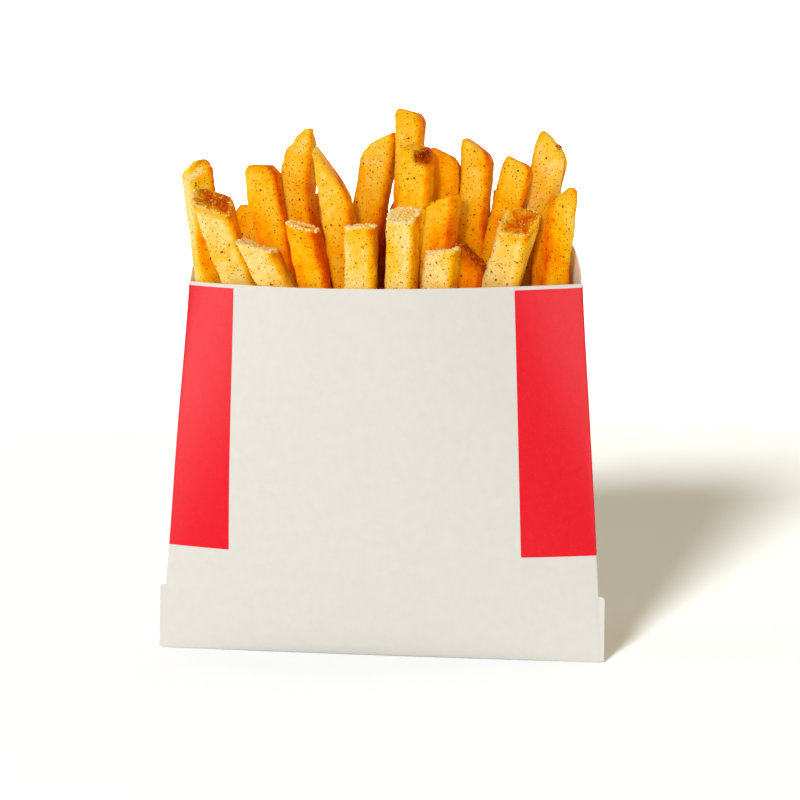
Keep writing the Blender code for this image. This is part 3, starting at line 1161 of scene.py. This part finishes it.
    def relief(self, fry: Fry, surface: Surface, chance: Chance) -> np.ndarray:
        """Gives how far each point stands out from the cut bar.

        Args:
            fry: the fry.
            surface: the bar's points.
            chance: the seeded source of the unevenness.

        Returns:
            One distance per point, in metres.
        """
        place, on_end = surface.place, surface.on_end
        out = np.zeros(len(place))
        for height, length, kept in self.waves:
            out += height * MM * Ripple(chance, length * MM).at(place * np.array([1.0, 1.0, kept]))
        # The faces dry and sink a little between the long corners, which stay crisp.
        out += self.sunken_mm * MM * (surface.near - 0.5)
        edge = surface.hump(1.0) * np.where(on_end > 0.5, 0.8, 1.0)
        out += END_LOOKS[fry.end].rough_mm * MM * edge * Ripple(chance, 1.1 * MM, 24).at(place)
        # A torn end is lumpy, a pointed one has knobs on its taper, and the others are dished.
        if fry.end is End.TORN:
            out += 0.9 * MM * edge * Ripple(chance, 2.6 * MM).at(place)
        if fry.end is End.POINTED:
            out += 0.30 * MM * surface.hump(5.0, 5.0) * Ripple(chance, 4.0 * MM).at(place)
        else:
            out -= 0.35 * MM * on_end**2
        if fry.end is End.NOTCHED:
            out -= 2.2 * MM * surface.notch(fry.width)
        return out

    def shades(self, fry: Fry, surface: Surface, chance: Chance) -> tuple[np.ndarray, np.ndarray]:
        """Gives the tone and the browning of each point, with painted light and painted shade in the tone.

        Args:
            fry: the fry.
            surface: the fry's points.
            chance: the seeded source of the unevenness.

        Returns:
            Tone from 0, pale, to 1, amber, and browning from 0 to 1.
        """
        place, out, near, on_end = surface.place, surface.out, surface.near, surface.on_end
        look = END_LOOKS[fry.end]
        patch = Ripple(chance, 9.0 * MM).at(place * np.array([1.0, 1.0, 0.4]))
        # Painted light and shade: faces turned right and back get more amber tone, faces turned left and to
        # the front paler, partly the fry's own tone.
        tone = fry.tone + fry.flank_shade * out[:, 0] + 0.10 * out[:, 1] + 0.12 * patch
        tone += 0.24 * near + 0.10 * surface.hump(1.2, 1.6)
        tone += look.edge_tone * (surface.hump(0.55) * (on_end < 0.6))
        tone += look.face_tone * np.clip(3.0 * on_end, 0.0, 1.0)
        # Painted shade: the part of a fry buried among its neighbours is toned orange, as the shaded gaps
        # between fries glow.
        sunk = (self.painted_shade_top - fry.top + surface.depth) / self.painted_shade_depth
        tone += fry.buried_shade * np.clip(sunk, 0.0, 1.0)
        speck = np.clip(Ripple(chance, 1.2 * MM, 24).at(place), -1.0, 1.0)
        toast = 0.10 * near * np.clip(patch, 0.0, 1.0)
        if fry.end is End.BROWNED:
            burnt = surface.hump(1.6) * np.where(on_end > 0.0, 1.0, 0.5)
            tone += 0.6 * burnt
            toast += burnt * (fry.browning + 0.35 * speck)
        if fry.end is End.TORN:
            toast += surface.hump(2.6) * (0.75 + 0.3 * speck)
        if fry.end is End.NOTCHED:
            tone += 0.8 * surface.notch(fry.width)
            toast += 2.4 * surface.notch(fry.width)
        return np.clip(tone, 0.0, 1.0), np.clip(toast, 0.0, 1.0)

    def rear(self) -> list[Fry]:
        """Gives the two rows along the back panel, drawn as for their solids.

        Returns:
            The fries, uneven in height, lean and tone.
        """
        chance = Random(self.seed)
        toning = Random(self.seed + 1)
        made = []
        for inset, reach, count in self.rear_rows:
            for place in range(count):
                x = reach * (2.0 * place / (count - 1) - 1.0) + chance.uniform(-0.001, 0.001)
                y = float(self.form.inner_y(True, x, self.form.front_height, inset))
                y += chance.uniform(-0.001, 0.0)
                made.append(
                    Fry(
                        x,
                        y,
                        self.rear_top - 5.0 * x**2 + chance.uniform(-0.0035, 0.0035),
                        lean=200.0 * x + chance.uniform(-5.0, 5.0),
                        width=self.rear_width * chance.uniform(0.88, 1.05),
                        **draw_angles(chance, REAR_ANGLES),
                        end=toning.choice([End.CUT, End.CRUMBED, End.CUT, End.BROWNED]),
                        tone=toning.uniform(0.15, 0.65),
                    )
                )
        return made

    def short(self, tall: list[Fry]) -> list[Fry]:
        """Fills the mouth between the tall fries with ones that end near the rim.

        Args:
            tall: the fries that already stand there.

        Returns:
            The short fries.
        """
        chance = Random(self.seed + 2)
        made: list[Fry] = []
        for _ in range(self.short_tries):
            x = chance.uniform(-self.short_reach, self.short_reach)
            front, back = (
                float(self.form.inner_y(far, x, self.short_height, self.edge_inset))
                for far in (False, True)
            )
            if back <= front:
                continue
            y = chance.uniform(front, back)
            near = min(np.hypot(x - f.x, y - f.y) for f in (*tall, *made))
            if near < self.short_gap:
                continue
            made.append(
                Fry(
                    x,
                    y,
                    chance.uniform(0.0955, 0.0995),
                    lean=chance.uniform(-14.0, 14.0),
                    width=self.short_width * chance.uniform(0.85, 1.05),
                    **draw_angles(chance, SHORT_ANGLES),
                    end=chance.choice([End.CUT, End.CRUMBED, End.BROWNED]),
                    tone=chance.uniform(0.3, 0.8),
                    foot=self.short_foot,
                )
            )
        return made

    def build_core(self, skin: Skin, chance: Chance) -> None:
        """Adds the hidden part of the heap, whose top is an uneven bed under the fries.

        Args:
            skin: the piece to add to.
            chance: the seeded source of the bed's bumps.
        """
        columns = self.core_columns
        share = np.sin(np.linspace(-1.0, 1.0, columns) * pi / 2.0)
        levels = np.array(self.core_levels_mm) * MM
        rings = []
        for z in levels:
            x = share * (float(self.form.half_chord(z)) - self.edge_inset)
            front = self.form.inner_y(False, x, z, self.clearance)
            back = self.form.inner_y(True, x, z, self.clearance)
            run = np.stack([x, front, np.full(columns, z)], axis=1)
            far = np.stack([x, back, np.full(columns, z)], axis=1)[::-1]
            rings.append(np.concatenate([run, far]))
        # Painted shade: the hidden core is toned deep amber, as the gaps deep in the heap are shaded.
        shade = np.full(len(levels) * 2 * columns, 0.85)
        first = skin.add_points(np.array(rings), tone=shade, toast=shade * 0.0)
        skin.add_grid(first, len(levels), 2 * columns, closed=True)
        for ring, lumpy in ((rings[0], 0.0), (rings[-1], 1.0)):
            front, back = ring[:columns], ring[columns:][::-1]
            part = np.linspace(0.0, 1.0, self.bed_rows)[:, None, None]
            fill = (front[None] * (1.0 - part) + back[None] * part).reshape(-1, 3)
            inside = np.repeat(np.sin(np.linspace(0.0, pi, self.bed_rows)), columns)
            lift = Ripple(chance, 11.0 * MM).at(fill) * 1.6 + Ripple(chance, 4.0 * MM).at(fill) * 0.5
            fill[:, 2] += lumpy * np.clip(inside * 3.0, 0.0, 1.0) * lift * MM
            # The bed's deep amber tone is painted shade of the gaps under the fries.
            start = skin.add_points(fill, tone=np.full(len(fill), 0.85), toast=np.full(len(fill), 0.12))
            faces = grid_faces(start, self.bed_rows, columns, False)
            skin.add_faces(faces if lumpy else faces[:, ::-1])

    def strew(self, fry: Fry, surface: Surface, points: np.ndarray, chance: Chance) -> None:
        """Chooses where crumbs and spice sit on one fry.

        Args:
            fry: the fry.
            surface: its points before they were set in place.
            points: the same points in place.
            chance: the seeded source.
        """
        depth, on_end = surface.depth, surface.on_end
        rim = np.flatnonzero((depth < 0.35 * MM) & (on_end < 0.15))
        face = np.flatnonzero(on_end > 0.0)
        sides = np.flatnonzero((points[:, 2] > self.crumbs_from) & (depth > 1.5 * MM))
        # Where the crumbs sit, how many there are, their size in millimetres and their shade.
        kinds = [(sides, 7, 0.15, 1.0)]
        if fry.end is End.CRUMBED:
            kinds += [(rim, 46, 0.40, 0.0), (face, 16 + int(3.0 * abs(fry.face)), 0.28, 0.16)]
        if fry.end is End.BROWNED:
            kinds += [(rim, 40, 0.30, 0.25), (face, 70, 0.34, 0.68)]
        if fry.end is End.TORN:
            kinds += [(rim, 30, 0.34, 0.85), (face, 30, 0.36, 0.9)]
        if fry.end is End.TUFTED:
            off_middle = np.abs(points[rim, 0] - points[rim, 0].mean() - 0.12 * fry.width)
            kinds += [(rim[np.argsort(off_middle)[:10]], 10, 0.50, 0.95)]
        for spots, number, size, shade in kinds:
            if len(spots) == 0:
                continue
            for spot in chance.choice(spots, min(number, len(spots)), replace=False):
                grain = size * MM * chance.uniform(0.6, 1.25)
                darker = float(np.clip(shade + chance.normal(0.0, 0.14), 0.0, 1.0))
                self.seats.append((points[spot], grain, darker))

    def build_grains(self, finish: bpy.types.Material) -> None:
        """Makes the crumbs and the spice as one piece.

        Args:
            finish: the grains' finish.
        """
        chance = np.random.default_rng(self.seed + 3)
        ball = bpy.data.meshes.new("ball")
        round_grain = bmesh.new()
        bmesh.ops.create_icosphere(round_grain, subdivisions=1, radius=1.0)
        round_grain.to_mesh(ball)
        round_grain.free()
        shape = np.array([v.co for v in ball.vertices])
        faces = np.array([list(p.vertices) for p in ball.polygons])
        bpy.data.meshes.remove(ball)
        grains = Skin()
        for place, size, shade in self.seats:
            stretch = chance.uniform(0.7, 1.25, 3) * size
            lumpy = shape * chance.uniform(0.8, 1.2, (len(shape), 1)) * stretch
            first = grains.add_points(lumpy + place, tone=np.full(len(shape), shade))
            grains.add_faces(faces + first)
        grains.make("crumbs_and_spice", [finish], 180.0)

    def build(self) -> None:
        """Builds and dresses the heap, and lets it stand for its solid."""
        chance = np.random.default_rng(self.seed)
        crust = FriedPotato().material()
        rear = self.rear()
        groups = (
            ("fries_standing", STANDING, self.sides, 1.0),
            ("fries_at_the_back", rear, self.sides - 4, 1.15),
            ("fries_short", self.short([*STANDING, *rear]), 28, 1.6),
        )
        skins = {}
        for name, fries, sides, coarse in groups:
            skins[name] = Skin()
            for fry in fries:
                self.add_fry(skins[name], fry, chance, sides, coarse)
        skins["fries_core"] = Skin()
        self.build_core(skins["fries_core"], chance)
        for name, skin in skins.items():
            piece = skin.make(name, [crust], 60.0)
            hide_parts("fries")
        self.build_grains(Grain().material())


class Lit(Enum):
    """What a lamp shines on."""

    ALL = "all"
    FLOOR = "floor"
    OBJECT = "object"


@dataclass(frozen=True)
class Sun:
    """A distant soft light; angles are in degrees, from the front and from the floor."""

    name: str
    strength: float
    azimuth: float
    height: float
    softness: float
    lit: Lit
    tint: str = "#FFFCF6"


@dataclass(frozen=True)
class Softbox:
    """A square area light that looks at the object, its size and distance in metres."""

    name: str
    power: float
    size: float
    distance: float
    azimuth: float
    height: float
    lit: Lit


@dataclass
class Studio:
    """A white sweep all round, soft light mostly from the front, and the photograph's camera."""

    sweep_start: float = 0.02
    sweep_radius: float = 1.5
    sweep_bend: float = 0.25
    sweep_height: float = 0.65
    sweep_sides: int = 96
    floor_rings: int = 24
    bend_rings: int = 13
    glow_start: float = 0.5
    glow_full: float = 1.3
    far_glow: float = 0.9
    sky: float = 0.45
    bounce: float = 0.86
    suns: tuple[Sun, ...] = (
        Sun("key_softbox", 1.27, -5.0, 20.0, 10.0, Lit.ALL),
        Sun("floor_softbox", 11.5, -5.0, 20.0, 10.0, Lit.FLOOR, "#EEF4FF"),
        Sun("floor_top_softbox", 1.5, 165.0, 62.0, 50.0, Lit.FLOOR, "#FFE9B0"),
    )
    softboxes: tuple[Softbox, ...] = (
        Softbox("side_softbox", 1.8, 0.55, 0.9, -76.0, 18.0, Lit.ALL),
        Softbox("right_softbox", 1.0, 0.50, 1.0, 70.0, 15.0, Lit.OBJECT),
        Softbox("back_softbox", 4.0, 0.80, 1.2, 165.0, 24.0, Lit.OBJECT),
    )
    middle: float = 0.07
    azimuth: float = 13.03
    height: float = 6.38
    distance: float = 0.8174
    target: tuple[float, float, float] = (0.00695, -0.0107, 0.07054)
    roll: float = 0.56
    focal: float = 3012.0
    frame_width: float = 800.0
    sweep: bpy.types.Object | None = None

    def build_sweep(self) -> None:
        """Builds the floor, which curves up to a low wall far from the object."""
        bend = np.linspace(0.0, pi / 2.0, self.bend_rings)
        floor = np.linspace(self.sweep_start, self.sweep_radius, self.floor_rings)
        reach = self.sweep_radius + self.sweep_bend * np.sin(bend)
        height = self.sweep_bend * (1.0 - np.cos(bend))
        reach = np.concatenate([floor, reach[1:], reach[-1:]])
        height = np.concatenate([floor * 0.0, height[1:], [self.sweep_height]])
        turn = np.linspace(2.0 * pi, 0.0, self.sweep_sides, endpoint=False)
        round_it = (np.cos(turn), np.sin(turn), np.ones(self.sweep_sides))
        profile = (reach, reach, height)
        rings = np.stack([np.outer(out, way) for out, way in zip(profile, round_it)], axis=-1)
        middle = list(range(self.sweep_sides))[::-1]
        faces = grid_faces(0, len(reach), self.sweep_sides, True).tolist()
        mesh = bpy.data.meshes.new("studio_sweep")
        mesh.from_pydata(rings.reshape(-1, 3).tolist(), [], [middle, *faces])
        mesh.shade_smooth()
        mesh.materials.append(self.paper())
        sweep = bpy.data.objects.new("studio_sweep", mesh)
        bpy.context.scene.collection.objects.link(sweep)
        # The sweep is blown out to white, so its bounce is left to the sky, which is dimmer.
        sweep.visible_diffuse = False
        sweep.visible_glossy = False
        # The wall is higher than the low key light, and mustn't keep it off the floor.
        sweep.visible_shadow = False
        self.sweep = sweep

    def paper(self) -> bpy.types.Material:
        """Makes the sweep's matt paper.

        Returns:
            The material, whose far wall glows, so that it is white from every side.
        """
        made, tree, shader, place = start_finish("pale_matt_paper")
        away = add_node(tree, "VectorMath", {0: place}, operation="LENGTH").outputs["Value"]
        fade = {"From Min": self.glow_start, "From Max": self.glow_full, "To Max": self.far_glow}
        glow = add_node(tree, "MapRange", {"Value": away} | fade).outputs["Result"]
        feed(
            shader,
            {
                "Base Color": linear("#BEBDB8"),
                "Emission Color": linear("#FFFFFF"),
                "Emission Strength": glow,
                "Roughness": 0.9,
                "Specular IOR Level": 0.1,
            },
        )
        return made

    def build_sky(self) -> None:
        """Builds the even light that comes from all round."""
        world = bpy.data.worlds.new("studio_sky")
        world.use_nodes = True
        tree = world.node_tree
        # The lower half stands for the light that the white table throws back up.
        way = add_node(tree, "TexCoord", {}).outputs["Generated"]
        up = add_node(tree, "SeparateXYZ", {0: way}).outputs["Z"]
        level = {"From Min": -0.1, "From Max": 0.1, "To Min": self.bounce, "To Max": self.sky}
        strength = add_node(tree, "MapRange", {"Value": up} | level).outputs["Result"]
        feed(tree.nodes["Background"], {"Color": linear("#FFFFFF"), "Strength": strength})
        # Only the lamps are mirrored, as in a room with dark walls, so the ink stays deep.
        world.cycles_visibility.glossy = False
        bpy.context.scene.world = world

    def build_lamps(self) -> None:
        """Builds the soft suns and the softboxes."""
        for sun in self.suns:
            lamp = bpy.data.lights.new(sun.name, "SUN")
            lamp.energy = sun.strength
            lamp.angle = radians(sun.softness)
            lamp.color = linear(sun.tint)[:3]
            self.hang(lamp, sun, Vector())
        for softbox in self.softboxes:
            lamp = bpy.data.lights.new(softbox.name, "AREA")
            lamp.energy = softbox.power
            lamp.size = softbox.size
            place = self.towards(softbox.azimuth, softbox.height) * softbox.distance
            self.hang(lamp, softbox, place + Vector((0.0, 0.0, self.middle)))

    def hang(self, lamp: bpy.types.Light, kind: Sun | Softbox, place: Vector) -> None:
        """Hangs a lamp so that it looks at the object, and keeps its light to what it may reach.

        Args:
            lamp: the lamp.
            kind: the sun or softbox that it is.
            place: where it hangs.
        """
        light = bpy.data.objects.new(kind.name, lamp)
        aim = self.towards(kind.azimuth, kind.height).to_track_quat("Z", "Y")
        pose = aim.to_matrix().to_4x4()
        pose.translation = place
        light.matrix_world = pose
        bpy.context.scene.collection.objects.link(light)
        if kind.lit is Lit.ALL:
            return
        # A lamp for the floor shines on the sweep alone, one for the object on all but the sweep.
        sweep = bpy.data.collections.new(kind.name + "_sweep")
        sweep.objects.link(self.sweep)
        light.light_linking.receiver_collection = sweep
        if kind.lit is Lit.OBJECT:
            sweep.collection_objects[0].light_linking.link_state = "EXCLUDE"

    def towards(self, azimuth: float, height: float) -> Vector:
        """Gives the direction from the object to a place round it, angles in degrees."""
        a, e = radians(azimuth), radians(height)
        return Vector((sin(a) * cos(e), -cos(a) * cos(e), sin(e)))

    def build_camera(self) -> None:
        """Stands the camera where the photograph was taken from, with its slight roll."""
        lens = bpy.data.cameras.new("photograph_view")
        lens.sensor_fit = "HORIZONTAL"
        lens.sensor_width = 36.0
        lens.lens = self.focal / self.frame_width * lens.sensor_width
        lens.clip_start = 0.05
        lens.clip_end = 20.0
        back = self.towards(self.azimuth, self.height)
        right = Vector((cos(radians(self.azimuth)), sin(radians(self.azimuth)), 0.0))
        up = back.cross(right)
        turn = radians(self.roll)
        level, upright = cos(turn) * right - sin(turn) * up, sin(turn) * right + cos(turn) * up
        pose = Matrix((level, upright, back)).transposed().to_4x4()
        pose.translation = Vector(self.target) + self.distance * back
        camera = bpy.data.objects.new("photograph_view", lens)
        camera.matrix_world = pose
        bpy.context.scene.collection.objects.link(camera)
        bpy.context.scene.camera = camera

    def build(self) -> None:
        """Builds the sweep, the light and the camera."""
        self.build_sweep()
        self.build_sky()
        self.build_lamps()
        self.build_camera()
        bpy.context.scene.view_settings.view_transform = "Standard"
        log.info("studio: sweep, sky, %d lamps and camera", len(self.suns) + len(self.softboxes))


def main() -> None:
    """Loads the frame, then builds the carton, the heap and the studio."""
    logging.basicConfig(level=logging.INFO, format="%(name)s: %(message)s")
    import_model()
    form = CartonForm()
    Carton(form).build()
    Heap(form).build()
    Studio().build()


if __name__ == "__main__":
    main()
